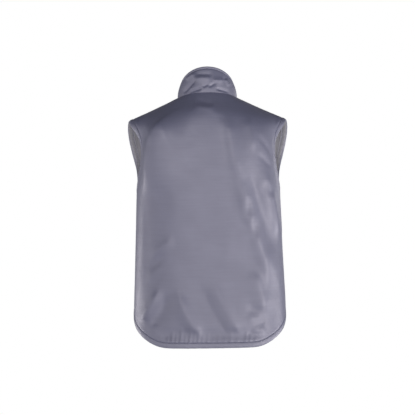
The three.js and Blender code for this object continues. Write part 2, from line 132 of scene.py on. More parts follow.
sky_height = sky_band("Z", [(0.0, 0.6), (0.35, 0.9), (0.5, 1.0), (0.61, 0.95),
                            (0.68, 0.58), (0.76, 0.27), (0.9, 0.13)])
sky_across = sky_band("X", [(0.0, 0.56), (0.1, 0.52), (0.2, 0.52), (0.3, 0.56), (0.4, 0.62),
                            (0.5, 0.67), (0.6, 0.57), (0.7, 0.43), (0.85, 0.38), (1.0, 0.5)])
sky_depth = sky_band("Y", [(0.0, 0.22), (0.2, 0.3), (0.4, 0.37), (0.55, 0.46), (0.7, 0.5),
                           (1.0, 0.5)])
sky_all = sky_product(sky_product(sky_height, sky_across), sky_depth)
sky_light = sky.nodes.new("ShaderNodeBackground")
sky_light.inputs["Strength"].default_value = SKY_STRENGTH
sky_white = sky.nodes.new("ShaderNodeBackground")
sky_white.inputs["Color"].default_value = (1, 1, 1, 1)
sky_path = sky.nodes.new("ShaderNodeLightPath")
sky_mix = sky.nodes.new("ShaderNodeMixShader")
sky_out = sky.nodes.new("ShaderNodeOutputWorld")
sky.links.new(sky_all, sky_light.inputs["Color"])
sky.links.new(sky_path.outputs["Is Camera Ray"], sky_mix.inputs["Fac"])
sky.links.new(sky_light.outputs["Background"], sky_mix.inputs[1])
sky.links.new(sky_white.outputs["Background"], sky_mix.inputs[2])
sky.links.new(sky_mix.outputs["Shader"], sky_out.inputs["Surface"])
print("sky of", len(sky.nodes), "nodes")

# %% Lamps
LAMPS = [
    # name, place, width, watts
    ("side_lamp", (-2.3, 2.2, -1.4), 1.8, 14),
    ("low_lamp", (-2.4, -0.3, -1.4), 1.4, 10),
    ("edge_lamp", (2.3, -1.1, -1.1), 1.4, 11),
    ("rim_lamp", (-1.7, -2.2, 0.1), 0.9, 3),
    ("high_lamp", (0.8, 2.6, 0.4), 0.8, 2),
]

for lamp_name, lamp_place, width, watts in LAMPS:
    lamp_data = bpy.data.lights.new(lamp_name, "AREA")
    lamp_data.size = width
    lamp_data.energy = watts
    lamp = bpy.data.objects.new(lamp_name, lamp_data)
    scene.collection.objects.link(lamp)
    lamp.location = lamp_place
    lamp.rotation_euler = (aim - lamp.location).to_track_quat("-Z", "Y").to_euler()
scene.view_settings.view_transform = "Standard"
print(len(LAMPS), "soft lamps")

# %% Floor
FLOOR_LEVEL = -1.45
FLOOR_RADIUS = 1.0
FLOOR_COLOUR = (0.85, 0.85, 0.85, 1)
FLOOR_ROUGHNESS = 0.9


def finished_mesh(bm, name):
    """Turn a bmesh into a mesh and let the bmesh go"""
    mesh = bpy.data.meshes.new(name)
    bm.to_mesh(mesh)
    bm.free()
    return mesh


bm = bmesh.new()
bmesh.ops.create_circle(bm, cap_ends=True, radius=FLOOR_RADIUS, segments=96,
                        matrix=Matrix.Translation((0, 0, FLOOR_LEVEL)))
floor_mesh = finished_mesh(bm, "floor")
floor = bpy.data.objects.new("floor", floor_mesh)
scene.collection.objects.link(floor)
floor_paint = bpy.data.materials.new("pale_floor")
floor_paint.use_nodes = True
floor_surface = floor_paint.node_tree.nodes["Principled BSDF"]
floor_surface.inputs["Base Color"].default_value = FLOOR_COLOUR
floor_surface.inputs["Roughness"].default_value = FLOOR_ROUGHNESS
floor_mesh.materials.append(floor_paint)
print("floor", round(floor.dimensions.x, 2), "m across")

# %% [markdown]
# ## From CAD wall to soft cloth
# A CAD wall is a closed solid of triangles. A merged copy gets its triangles joined back to
# quads, a small bevel where the two faces meet the rim, and a few levels of subdivision. That
# keeps the cut and gives rounded, turned-in edges like those of sewn cloth.

# %% Soft copies of the CAD walls
RIM_ROUNDING = 0.0011
RIM_ANGLE = math.radians(50)
MERGE_DISTANCE = 1e-5


def add_piece(name, mesh, node_names):
    """Put a finished mesh in the scene as a piece of the vest"""
    mesh.name = name
    mesh.shade_smooth()
    piece = bpy.data.objects.new(name, mesh)
    scene.collection.objects.link(piece)
    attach(piece, "root")
    if node_names:
        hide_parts(*node_names)
    return piece


def merged_wall(node_name):
    """A bmesh of a CAD wall with its loose triangles joined up"""
    bm = bmesh.new()
    bm.from_mesh(nodes[node_name].data)
    bmesh.ops.remove_doubles(bm, verts=bm.verts, dist=MERGE_DISTANCE)
    return bm


def rim_edges(bm):
    """The sharp edges, where the two faces of a wall meet its rim"""
    return [e for e in bm.edges if e.is_manifold and e.calc_face_angle() > RIM_ANGLE]


def soft_copy(node_name, levels, rounding=RIM_ROUNDING):
    """A quad copy of a CAD wall with rounded rims, subdivided"""
    bm = merged_wall(node_name)
    bmesh.ops.join_triangles(
        bm, faces=bm.faces, angle_face_threshold=math.pi, angle_shape_threshold=math.pi)
    bmesh.ops.bevel(bm, geom=rim_edges(bm), offset=rounding, offset_type="OFFSET",
                    affect="EDGES", segments=2, profile=0.5, material=-1)
    quads = sum(len(face.verts) == 4 for face in bm.faces)
    print(node_name, "faces", len(bm.faces), "of them quads", quads)
    return subdivided(finished_mesh(bm, node_name + "_soft"), levels)


def subdivided(mesh, levels):
    """The mesh after smooth subdivision"""
    holder = bpy.data.objects.new("holder", mesh)
    scene.collection.objects.link(holder)
    modifier = holder.modifiers.new("Subdivision", "SUBSURF")
    modifier.levels = modifier.render_levels = levels
    graph = bpy.context.evaluated_depsgraph_get()
    fine = bpy.data.meshes.new_from_object(holder.evaluated_get(graph))
    bpy.data.objects.remove(holder)
    bpy.data.meshes.remove(mesh)
    return fine


def places(mesh):
    """Vertex positions as an array"""
    flat = np.empty(len(mesh.vertices) * 3)
    mesh.vertices.foreach_get("co", flat)
    return flat.reshape(-1, 3)


def set_places(mesh, points):
    """Put the vertices of a mesh at the rows of an array"""
    mesh.vertices.foreach_set("co", np.ascontiguousarray(points).ravel())
    mesh.update()


def vertex_normals(mesh):
    """Vertex normals as an array"""
    flat = np.empty(len(mesh.vertices) * 3)
    mesh.vertex_normals.foreach_get("vector", flat)
    return flat.reshape(-1, 3)


print(len(nodes), "CAD walls to copy")

# %% [markdown]
# ## Which way is out
# Folds push the whole wall in or out, so both faces and the rim of a wall need one shared
# outward direction. It is read from the outer face alone: a vertex is on the outer face when its
# normal points away from the middle of the body, and every other vertex borrows the direction of
# its nearest neighbour there. The distance to the nearest rim is kept too, to let folds die out.

# %% Outward directions
BODY_MIDDLE = np.array([0.0, -0.004, -0.17])
BODY_BOTTOM = -0.70
OUTER_FACING = 0.35
RIM_CUTS = 5
SEAM_SWELL = 0.0019
SWELL_GAIN = 1.5


def row_dots(first, second):
    """Dot product of every pair of rows"""
    return np.einsum("ij,ij->i", first, second)


def ways_out(points, hollow_middle, hollow_bottom):
    """Unit vectors from the middle line of a hollow to every point"""
    middle = np.repeat(hollow_middle[None], len(points), axis=0)
    middle[:, 2] = np.clip(points[:, 2], hollow_bottom, hollow_middle[2])
    away = points - middle
    return away / np.linalg.norm(away, axis=1)[:, None]


def outward_field(mesh, hollow_middle=BODY_MIDDLE, hollow_bottom=BODY_BOTTOM):
    """Outward direction of every vertex, the outer-face mask and the nearest outer vertex"""
    points = places(mesh)
    normals = vertex_normals(mesh)
    outer = row_dots(normals, ways_out(points, hollow_middle, hollow_bottom)) > OUTER_FACING
    tree = KDTree(int(outer.sum()))
    for index in np.flatnonzero(outer):
        tree.insert(points[index], int(index))
    tree.balance()
    nearest = np.array([tree.find(point)[1] for point in points])
    return normals[nearest], outer, nearest


def rim_points(*node_names):
    """Points along the rims of some CAD walls"""
    found = []
    for node_name in node_names:
        bm = merged_wall(node_name)
        cut = bmesh.ops.subdivide_edges(bm, edges=rim_edges(bm), cuts=RIM_CUTS)
        found += [v.co.copy() for v in cut["geom_inner"] if isinstance(v, bmesh.types.BMVert)]
        bm.free()
    return found


def point_tree(points):
    """A search tree of some points"""
    tree = KDTree(len(points))
    for index, point in enumerate(points):
        tree.insert(point, index)
    tree.balance()
    return tree


def rim_tree(*node_names):
    """A search tree of the rims of some CAD walls"""
    return point_tree(rim_points(*node_names))


def distances(tree, points):
    """Distance of every point from the nearest one in a tree"""
    return np.array([tree.find(point)[2] for point in points])


def close_seams(mesh, out):
    """Let the rims swell until they touch the pieces they are sewn to"""
    normals = vertex_normals(mesh)
    on_rim = 1 - np.abs(row_dots(normals, out))
    swell = SEAM_SWELL * np.clip(on_rim * SWELL_GAIN, 0, 1)
    return places(mesh) + normals * swell[:, None]


print("rim of the back:", len(rim_points("back_panel")), "points")

# %% [markdown]
# ## Folds
# Each fold follows a short path drawn on the cloth as seen square on. Across the path it has a
# rounded crest, or a trough when its height is negative, and its two sides may differ in width,
# as one side of a real fold is steeper. Along the path it swells and dies out. Coherent noise
# bends the paths and varies the heights, so that no two folds look alike.

# %% Fold maker
CORNER_CUTS = 3
FOLD_WANDER = 0.0015
WANDER_SCALE = 22
FOLD_UNEVENNESS = 0.15
UNEVEN_SCALE = 16
CREST_POWER = 1.7
FADE_SHARE = 0.3


def ramp(values, low, high):
    """0 below low, 1 above high and a smooth step between"""
    share = np.clip((values - low) / (high - low), 0, 1)
    return share * share * (3 - 2 * share)


def smooth_path(corners):
    """Round the corners of a path by cutting them a few times"""
    path = np.array(corners, float)
    for _ in range(CORNER_CUTS):
        near = 0.75 * path[:-1] + 0.25 * path[1:]
        far = 0.25 * path[:-1] + 0.75 * path[1:]
        path = np.vstack([path[:1], np.stack([near, far], 1).reshape(-1, 2), path[-1:]])
    return path


def path_field(flat_points, corners):
    """Signed distance from a path, and the share of the path at the nearest place"""
    path = smooth_path(corners)
    steps = np.linalg.norm(np.diff(path, axis=0), axis=1)
    walked = np.concatenate([[0], np.cumsum(steps)])
    best = np.full(len(flat_points), np.inf)
    side = np.zeros(len(flat_points))
    share = np.zeros(len(flat_points))
    for start, end, step, before in zip(path[:-1], path[1:], steps, walked):
        along = (end - start) / step
        rel = flat_points - start
        run = np.clip(rel @ along, 0, step)
        off = rel - run[:, None] * along
        distance = np.linalg.norm(off, axis=1)
        closer = distance < best
        best[closer] = distance[closer]
        side[closer] = (rel[:, 0] * along[1] - rel[:, 1] * along[0])[closer]
        share[closer] = ((before + run) / walked[-1])[closer]
    return np.copysign(best, side), share


def noise_field(points, scale, seed):
    """Smooth noise from -1 to 1 at every point"""
    shift = Vector((seed * 7.3, seed * 3.1, seed * 5.7))
    return np.array([noise.noise(Vector(point) * scale + shift) for point in points])


def fold_heights(points, folds):
    """Sum of all folds at every point, in metres; the table is in millimetres"""
    flat = points[:, [0, 2]].copy()
    flat[:, 0] += FOLD_WANDER * noise_field(points, WANDER_SCALE, 1)
    flat[:, 1] += FOLD_WANDER * noise_field(points, WANDER_SCALE, 2)
    uneven = 1 + FOLD_UNEVENNESS * noise_field(points, UNEVEN_SCALE, 3)
    total = np.zeros(len(points))
    for path, left_width, right_width, height in folds:
        off, share = path_field(flat, np.array(path) / 1000)
        width = np.where(off < 0, left_width, right_width) / 1000
        across = np.exp(-np.abs(off / width) ** CREST_POWER)
        along = ramp(np.minimum(share, 1 - share), 0, FADE_SHARE)
        total += height / 1000 * across * along * uneven
    return total


print("a fold fades over", FADE_SHARE, "of its length at each end")

# %% [markdown]
# ## Letting the cloth settle
# Drawn folds alone look ironed. So the outer face of a panel is also run as a sheet of cloth: it
# is held at its seams, made a percent or two too large where there is slack, and the padding
# presses it out a little. It buckles along the drawn folds and adds the small ones between them.
# The rest of the wall then follows its outer face, and no point may move more than a few
# millimetres.

# %% Settling cloth
SETTLING_FRAMES = 20
PADDING_PRESSURE = 0.25
PIN_START = 0.002
PIN_END = 0.012
PIN_TRACE = 0.02


def pinned(rim, free_from=PIN_END):
    """How firmly every vertex is held: fully along the seams, and barely further in"""
    return np.maximum(1 - ramp(rim, PIN_START, free_from), PIN_TRACE)


def settling_sheet(mesh, outer, held, slack):
    """A sheet made of the outer face of a wall, with its held and slack places marked"""
    bm = bmesh.new()
    bm.from_mesh(mesh)
    source = bm.verts.layers.int.new("source")
    for vert in bm.verts:
        vert[source] = vert.index
    bmesh.ops.delete(bm, geom=[v for v in bm.verts if not outer[v.index]], context="VERTS")
    order = [vert[source] for vert in bm.verts]
    sheet = bpy.data.objects.new("settling_sheet", finished_mesh(bm, "settling_sheet"))
    scene.collection.objects.link(sheet)
    for name, weights in (("held", held), ("slack", slack)):
        group = sheet.vertex_groups.new(name=name)
        for index, origin in enumerate(order):
            group.add([index], float(weights[origin]), "REPLACE")
    return sheet, order


def settle(mesh, outer, nearest, held, slack, growth, cap):
    """How far every vertex of a wall moves as its outer face settles"""
    moved = np.zeros((len(mesh.vertices), 3))
    sheet, order = settling_sheet(mesh, outer, held, slack)
    cloth = sheet.modifiers.new("Cloth", "CLOTH")
    settings = cloth.settings
    settings.quality = 6
    settings.mass = 0.2
    settings.tension_stiffness = 20
    settings.compression_stiffness = 20
    settings.shear_stiffness = 8
    settings.bending_stiffness = 1.2
    settings.air_damping = 4
    settings.vertex_group_mass = "held"
    settings.vertex_group_shrink = "slack"
    settings.shrink_max = -growth
    settings.use_pressure = True
    settings.uniform_pressure_force = PADDING_PRESSURE
    settings.effector_weights.gravity = 0
    cloth.collision_settings.use_collision = False
    cloth.point_cache.frame_start = 1
    cloth.point_cache.frame_end = SETTLING_FRAMES
    for frame_number in range(1, SETTLING_FRAMES + 1):
        scene.frame_set(frame_number)
    settled = sheet.evaluated_get(bpy.context.evaluated_depsgraph_get())
    moved[order] = places(settled.data) - places(sheet.data)
    scene.frame_set(1)
    bpy.data.meshes.remove(sheet.data)
    length = np.linalg.norm(moved, axis=1)
    print("settled by", round(1000 * length.max(), 1), "mm at most")
    moved *= np.minimum(1, cap / np.maximum(length, 1e-9))[:, None]
    return moved[nearest]


print("cloth settles for", SETTLING_FRAMES, "frames")

# %% [markdown]
# ## Back
# The back is one smooth panel, so its folds are all that shape it: long soft ones from the right
# shoulder down to the side, a fan of them above the hem, short pulls at the armholes and a
# hollow under the collar. The first table gives each path in millimetres, its width on the two
# sides and its height, and the second one the gathers above the hem tape. The facets of the CAD
# wall would catch the light, so the panel is ironed between its rims before the folds are drawn,
# and for a few rounds after.

# %% Back folds
BACK_FOLDS = [
    # path, width left of it, width right of it, height
    ([(-38, -50), (-50, -75), (-62, -113), (-68, -176), (-80, -240)], 20, 18, 6.4),
    ([(-70, -190), (-92, -271), (-111, -334), (-131, -392), (-148, -450), (-156, -530)],
     22, 20, 7.0),
    ([(-58, -200), (-79, -281), (-95, -334), (-112, -392), (-126, -450), (-134, -510)],
     14, 10, -1.0),
    ([(-138, -400), (-148, -450), (-154, -520), (-152, -600)], 12, 28, 4.6),
    ([(-108, -190), (-118, -229), (-130, -281), (-146, -334), (-164, -386), (-186, -440)],
     14, 14, -3.0),
    ([(-140, -180), (-154, -229), (-168, -281), (-179, -334), (-192, -390)], 24, 10, 7.6),
    ([(80, -45), (113, -68), (139, -100), (156, -135), (161, -180), (162, -230), (163, -270)],
     12, 38, 10.0),
    ([(170, -102), (140, -92), (106, -82)], 42, 16, 5.0),
    ([(84, -56), (30, -48), (-30, -48), (-74, -56)], 40, 22, 2.4),
    ([(-4, -490), (-20, -523), (-39, -555), (-68, -618), (-88, -652)], 14, 11, 3.0),
    ([(14, -500), (8, -555), (-20, -596), (-53, -648)], 12, 9, -2.2),
    ([(92, -510), (66, -571), (34, -623), (10, -660)], 20, 14, 7.0),
    ([(106, -526), (136, -586), (162, -622)], 12, 18, -6.0),
    ([(128, -515), (152, -553), (173, -586), (186, -606)], 12, 12, 9.0),
    ([(-112, -460), (-135, -520), (-143, -590)], 22, 12, 7.0),
    ([(-96, -570), (-116, -574), (-136, -574)], 8, 7, -3.4),
    ([(-94, -590), (-116, -594), (-138, -594)], 8, 8, 3.2),
    ([(-110, -602), (-128, -604), (-150, -604)], 7, 7, -2.8),
    ([(-108, -622), (-128, -626), (-150, -624)], 9, 8, 2.6),
    ([(116, -418), (136, -440), (160, -466)], 8, 9, -4.6),
    ([(90, -380), (124, -406), (158, -430)], 10, 9, 4.6),
    ([(122, -452), (146, -474), (168, -494)], 6, 6, 2.4),
    ([(116, -470), (140, -486), (164, -510)], 6, 6, -2.4),
    ([(172, -250), (168, -320), (168, -400), (172, -520)], 6, 13, -2.4),
    ([(-100, -60), (-114, -95), (-122, -160)], 14, 10, 4.4),
    ([(-130, -112), (-154, -142), (-180, -178)], 5, 6, -2.8),
    ([(-128, -160), (-148, -178), (-172, -200)], 5, 5, -2.4),
    ([(30, -12), (8, -24), (-18, -30)], 7, 7, -2.8),
    ([(44, -32), (20, -38), (-6, -42), (-28, -42)], 7, 9, 3.4),
]
PUCKERS = [
    # place across, height reached above the tape, width, depth
    (112, 20, 4.0, 1.4), (101, 36, 4.6, 2.4), (90, 28, 4.0, 2.0), (78, 42, 4.8, 2.6),
    (66, 26, 4.0, 1.8), (54, 38, 4.6, 2.4), (43, 26, 3.8, 1.7), (32, 34, 4.2, 2.1),
    (20, 24, 4.0, 1.5), (8, 32, 4.6, 1.8), (-6, 20, 4.0, 1.3), (-20, 28, 4.4, 1.6),
    (-36, 20, 4.0, 1.3), (-52, 30, 4.6, 1.9), (-70, 20, 4.0, 1.5), (-92, 32, 4.6, 2.4),
    (-103, 24, 4.0, 1.9), (-118, 18, 4.0, 1.2),
]
print(len(BACK_FOLDS), "folds and", len(PUCKERS), "gathers on the back")

# %% Shaping a panel
IRON_MARGIN = 0.009
PUCKER_LEAN = 0.12
PUCKER_TAPER = 0.7
HEM_FLARE = 0.0034
HEM_HOLLOW = 0.024
HEM_HOLLOW_WIDTH = 0.016
SEAM_DIP = 0.0006
SEAM_DIP_WIDTH = 0.0035
NECK_BASE = np.array([0.0, -0.008, 0.0])
RIPPLES = [
    # noise scale along X, Y and Z, seed, height
    ((30, 30, 9), 5, 0.0008),
    ((62, 62, 30), 7, 0.0001),
    ((13, 13, 75), 6, 0.0002),
]


def cut_finer(mesh, chosen):
    """Cut the chosen faces of a mesh once more, where small detail is needed"""
    bm = bmesh.new()
    bm.from_mesh(mesh)
    faces = [f for f in bm.faces if chosen(f.calc_center_median(), f.normal)]
    # A dict keeps each edge once, in an order that is the same in every run
    edges = dict.fromkeys(edge for face in faces for edge in face.edges)
    bmesh.ops.subdivide_edges(bm, edges=list(edges), cuts=1, use_grid_fill=True)
    bm.to_mesh(mesh)
    bm.free()


def iron(mesh, node_name, rounds):
    """Smooth a wall everywhere except along its rims"""
    rim = distances(rim_tree(node_name), places(mesh))
    bm = bmesh.new()
    bm.from_mesh(mesh)
    loose = [vert for vert in bm.verts if rim[vert.index] > IRON_MARGIN]
    for _ in range(rounds):
        bmesh.ops.smooth_vert(bm, verts=loose, factor=0.5,
                              use_axis_x=True, use_axis_y=True, use_axis_z=True)
    bm.to_mesh(mesh)
    bm.free()


def pucker_heights(points, rim):
    """Small gathers along the hem, where the tape holds the cloth short"""
    total = np.zeros(len(points))
    for across, reach, width, depth in PUCKERS:
        lean = points[:, 0] * 1000 - across + PUCKER_LEAN * rim * 1000
        inside = np.clip(1 - rim * 1000 / reach, 0, 1)
        total += depth / 1000 * np.exp(-(lean / width) ** 2) * inside ** PUCKER_TAPER
    return total


def hem_flare(points, rim):
    """A shallow hollow above the tape, from which the hem stands out again"""
    middle = 1 - ramp(np.abs(points[:, 0]), 0.11, 0.16)
    return -HEM_FLARE * np.exp(-((rim - HEM_HOLLOW) / HEM_HOLLOW_WIDTH) ** 2) * middle


def seam_dip(points, rim):
    """The stitching draws a panel in along its seams, but not where it joins the collar"""
    neck_way = np.linalg.norm(points - NECK_BASE, axis=1)
    return -SEAM_DIP * np.exp(-(rim / SEAM_DIP_WIDTH) ** 2) * ramp(neck_way, 0.09, 0.11)


def ripples(points):
    """Unevenness of the padding: long swells down the cloth, creases and ripples across it"""
    return sum(height * noise_field(points * scale, 1, seed) for scale, seed, height in RIPPLES)


print("hem flare", HEM_FLARE * 1000, "mm, seam dip", SEAM_DIP * 1000, "mm")

# %% Back panel
FACET_ROUNDS = 30
FOLD_ROUNDS = 3
FINE_BELOW = -0.56
FINE_FACING = 0.2
FINE_REACH = 0.045

back_mesh = soft_copy("back_panel", 2)
iron(back_mesh, "back_panel", FACET_ROUNDS)
hem_tree = rim_tree("hem_binding")
cut_finer(back_mesh, lambda middle, normal: middle.z < FINE_BELOW and normal.y > FINE_FACING
          and hem_tree.find(middle)[2] < FINE_REACH)
back_out, back_outer, back_nearest = outward_field(back_mesh)
back_points = close_seams(back_mesh, back_out)
back_rim = distances(rim_tree("back_panel"), back_points)
hem_rim = distances(hem_tree, back_points)
back_lift = fold_heights(back_points, BACK_FOLDS) + ripples(back_points)
back_lift = back_lift * ramp(back_rim, 0, 0.02) + hem_flare(back_points, hem_rim)
back_points += back_out * (back_lift + seam_dip(back_points, back_rim))[:, None]
set_places(back_mesh, back_points)
iron(back_mesh, "back_panel", FOLD_ROUNDS)
back_points = places(back_mesh)
print("back folds reach", round(1000 * back_lift.max(), 1), "mm")

# %% Settle the back
right_side = ramp(-back_points[:, 0], 0.03, 0.12) * ramp(back_points[:, 2], -0.6, -0.45)
near_hem = 1 - ramp(hem_rim, 0.02, 0.11)
near_shoulder = ramp(back_points[:, 2], -0.2, -0.08)
back_slack = np.clip(0.15 + 0.5 * right_side + 0.8 * near_hem + 0.5 * near_shoulder, 0, 1)
back_points += settle(back_mesh, back_outer, back_nearest, pinned(back_rim), back_slack,
                      growth=0.025, cap=0.007)
back_puckers = pucker_heights(back_points, hem_rim) * ramp(back_rim, 0, 0.004)
back_points += back_out * back_puckers[:, None]
set_places(back_mesh, back_points)
back = add_piece("padded_back", back_mesh, ["back_panel"])
print("back", len(back_mesh.polygons), "faces, gathers up to",
      round(1000 * back_puckers.max(), 2), "mm")

# %% [markdown]
# ## Fronts
# The fronts hang from the shoulders to the hem and are cut as a mirrored pair, so one function
# makes both from one table of folds. Mirroring a finished front would be quicker, but then the
# two would be copies: here the noise and the settling make them differ a little, as cloth does.
# A few long soft folds are enough for them.

# %% Front panels
FRONT_FOLDS = [
    ([(70, -130), (62, -240), (58, -330)], 15, 12, -2.0),
    ([(150, -215), (132, -330), (118, -470)], 12, 12, 2.4),
    ([(95, -380), (84, -500), (80, -590)], 12, 12, -2.0),
    ([(140, -430), (165, -575)], 10, 10, 2.0),
    ([(175, -270), (150, -360)], 8, 8, -1.8),
    ([(40, -420), (30, -560)], 10, 10, 1.5),
]


def front(name, node_name, side):
    """A padded front; side is 1 for the wearer's left and -1 for the right"""
    mesh = soft_copy(node_name, 2)
    out, outer, nearest = outward_field(mesh)
    points = close_seams(mesh, out)
    rim = distances(rim_tree(node_name), points)
    folds = [([(side * x, z) for x, z in path], left, right, height)
             for path, left, right, height in FRONT_FOLDS]
    lift = (fold_heights(points, folds) + ripples(points)) * ramp(rim, 0, 0.022)
    points += out * (lift + seam_dip(points, rim))[:, None]
    set_places(mesh, points)
    slack = 0.3 + 0.5 * ramp(-points[:, 2], 0.45, 0.6)
    points = points + settle(mesh, outer, nearest, pinned(rim), slack, growth=0.02, cap=0.006)
    set_places(mesh, points)
    piece = add_piece(name, mesh, [node_name])
    print(name, len(mesh.polygons), "faces")
    return piece


front_left = front("padded_front_left", "front_left", 1)
front_right = front("padded_front_right", "front_right", -1)

# %% [markdown]
# ## Collar
# The stand collar is a padded band. Where it is turned over at the top it pulls the cloth into
# short slanting wrinkles, and the row of stitches below that edge presses a groove into it. The
# wrinkles are drawn and settled like the folds of the back. The lower rim then sinks a little
# way between the panels, so that no gap shows at the neck seam.

# %% Collar
COLLAR_FOLDS = [
    ([(28, 44), (48, 24), (68, 4)], 6, 5, -3.4),
    ([(12, 19), (30, 13), (52, 6)], 4, 4, -2.6),
    ([(6, 10), (28, 6), (50, 1)], 4, 4, 2.0),
    ([(40, 42), (14, 45), (-14, 44)], 9, 9, 3.0),
    ([(-6, 31), (4, 25), (14, 20)], 4, 4, -2.2),
    ([(-28, 35), (-14, 27), (-2, 20)], 4, 4, -2.6),
    ([(-12, 36), (-30, 39), (-48, 38)], 8, 8, 2.8),
    ([(-20, 17), (-40, 13), (-62, 8)], 4, 4, -3.0),
    ([(-20, 9), (-36, 7), (-52, 3)], 4, 4, 2.0),
    ([(60, 44), (46, 52), (30, 58)], 6, 8, 2.6),
    ([(34, 57), (8, 53), (-18, 56)], 6, 7, -2.4),
    ([(-48, 46), (-54, 36), (-60, 24)], 5, 6, 2.4),
]
PANELS = ("back_panel", "front_left", "front_right")
NECK_MIDDLE = np.array([0.0, -0.008, 0.05])
NECK_BOTTOM = -0.08
COLLAR_TOP_Y = 0.059
COLLAR_TOP_Z = 0.077
COLLAR_SLOPE = 0.687
COLLAR_EDGE_WIDTH = 0.008
EDGE_GROOVE = 0.0019
EDGE_GROOVE_WIDTH = 0.0018
COLLAR_SINK = 0.0025


def collar_height(points):
    """Height above the sloping plane of the collar's top edge"""
    return points[:, 2] - (COLLAR_TOP_Z + (points[:, 1] - COLLAR_TOP_Y) * COLLAR_SLOPE)


collar_mesh = soft_copy("collar", 3)
collar_out, collar_outer, collar_nearest = outward_field(collar_mesh, NECK_MIDDLE, NECK_BOTTOM)
collar_points = close_seams(collar_mesh, collar_out)
collar_rim = distances(rim_tree("collar"), collar_points)
behind = ramp(collar_points[:, 1], 0, 0.03)
below_edge = ramp(-collar_height(collar_points), 0.008, 0.014)
collar_lift = fold_heights(collar_points, COLLAR_FOLDS) * behind * below_edge
collar_lift *= ramp(collar_rim, 0, 0.007)
edge_seam = (collar_height(collar_points) + COLLAR_EDGE_WIDTH) / EDGE_GROOVE_WIDTH
collar_lift -= EDGE_GROOVE * np.exp(-edge_seam ** 2)
collar_points += collar_out * collar_lift[:, None]
neckline = distances(rim_tree(*PANELS), collar_points)
collar_points[:, 2] -= COLLAR_SINK * (1 - ramp(neckline, 0.001, 0.008))
set_places(collar_mesh, collar_points)
print("collar wrinkles reach", round(1000 * collar_lift.max(), 1), "mm")

# %% Settle the collar
collar_held = np.maximum(pinned(collar_rim, 0.008), 1 - below_edge)
collar_slack = np.ones(len(collar_points))
collar_points += settle(collar_mesh, collar_outer, collar_nearest, collar_held, collar_slack,
                        growth=0.035, cap=0.004)
set_places(collar_mesh, collar_points)
collar = add_piece("padded_collar", collar_mesh, ["collar"])
print("collar", len(collar_mesh.polygons), "faces")

# %% [markdown]
# ## Bindings
# A folded tape closes the hem and both armholes. The CAD strip only carries the edge of the
# panel on. So its points near the panel are drawn a little way over it, which closes the gap
# between them, its middle is swollen into a flattened roll, and noise makes it slightly uneven,
# as stitching does.

# %% Bound edges
TAPE_ROUNDING = 0.0014
TAPE_WIDTH = 0.012
TAPE_OVERLAP = 0.0026
LIP_WIDTH = 0.006
LIP_TAPER = 0.6
TAPE_ROLL = 0.0008
TAPE_UNEVENNESS = 0.0003
TAPE_NOISE_SCALE = 130


def binding(name, node_name, panels):
    """A soft tape whose lips reach a little way over the panels it binds"""
    mesh = soft_copy(node_name, 3, TAPE_ROUNDING)
    points = places(mesh)
    panel_edge = rim_tree(*panels)
    rims = rim_points(node_name)
    free_edge = point_tree([p for p in rims if panel_edge.find(p)[2] > 0.75 * TAPE_WIDTH])
    sewn = np.array([panel_edge.find(point)[0] for point in points])
    free = np.array([free_edge.find(point)[0] for point in points])
    toward = (sewn - free) / np.linalg.norm(sewn - free, axis=1)[:, None]
    reach = np.linalg.norm(points - sewn, axis=1)
    near = np.clip(1 - reach / LIP_WIDTH, 0, 1)
    roll = np.sin(np.pi * np.clip(reach / TAPE_WIDTH, 0.1, 0.8))
    points += toward * (TAPE_OVERLAP * near ** LIP_TAPER)[:, None]
    uneven = TAPE_UNEVENNESS * noise_field(points, TAPE_NOISE_SCALE, 4)
    points += vertex_normals(mesh) * (TAPE_ROLL * roll + uneven)[:, None]
    set_places(mesh, points)
    piece = add_piece(name, mesh, [node_name])
    print(name, len(mesh.polygons), "faces")
    return piece


hem_tape = binding("hem_tape", "hem_binding", PANELS)
armhole_tapes = [
    binding("armhole_tape_left", "armhole_binding_left", ["back_panel", "front_left"]),
    binding("armhole_tape_right", "armhole_binding_right", ["back_panel", "front_right"]),
]

# %% [markdown]
# ## Stitching
# A lockstitch row holds every tape, and one row runs below the top edge of the collar. Each
# stitch is a small flattened bead, longer than it is wide, pressed into the cloth. The rows are
# found on the finished pieces: the edge of the CAD wall gives the line, a step sideways puts it
# on the tape, and a search for the nearest place on the mesh sets every stitch on the surface.

# %% Stitch rows
STITCH_PITCH = 0.0034
STITCH_SIZE = Vector((0.0013, 0.0005, 0.0004))


def even_steps(line, pitch, closed):
    """Points at even steps along a line of points"""
    line = np.array(line + line[:1] if closed else line)
    steps = np.linalg.norm(np.diff(line, axis=0), axis=1)
    walked = np.concatenate([[0], np.cumsum(steps)])
    places_along = np.arange(0.5, int(walked[-1] / pitch)) * pitch
    return np.stack([np.interp(places_along, walked, line[:, axis]) for axis in range(3)], 1)


def stitch_row(name, line, surface, closed=False):
    """Beads of thread along a line, laid on the surface of a piece"""
    tree = BVHTree.FromObject(surface, bpy.context.evaluated_depsgraph_get())
    steps = even_steps(line, STITCH_PITCH, closed)
    spots = [tree.find_nearest(Vector(point))[:2] for point in steps]
    bm = bmesh.new()
    for index, (place, normal) in enumerate(spots):
        along = spots[(index + 1) % len(spots)][0] - spots[index - 1][0]
        if not closed and index in (0, len(spots) - 1):
            continue
        along = (along - normal * along.dot(normal)).normalized()
        turn = Matrix((along, normal.cross(along), normal)).transposed().to_4x4()
        bmesh.ops.create_uvsphere(
            bm, u_segments=6, v_segments=4, radius=1,
            matrix=Matrix.Translation(place) @ turn @ Matrix.Diagonal(STITCH_SIZE).to_4x4())
    mesh = finished_mesh(bm, name)
    print(name, len(spots), "stitches")
    return add_piece(name, mesh, [])


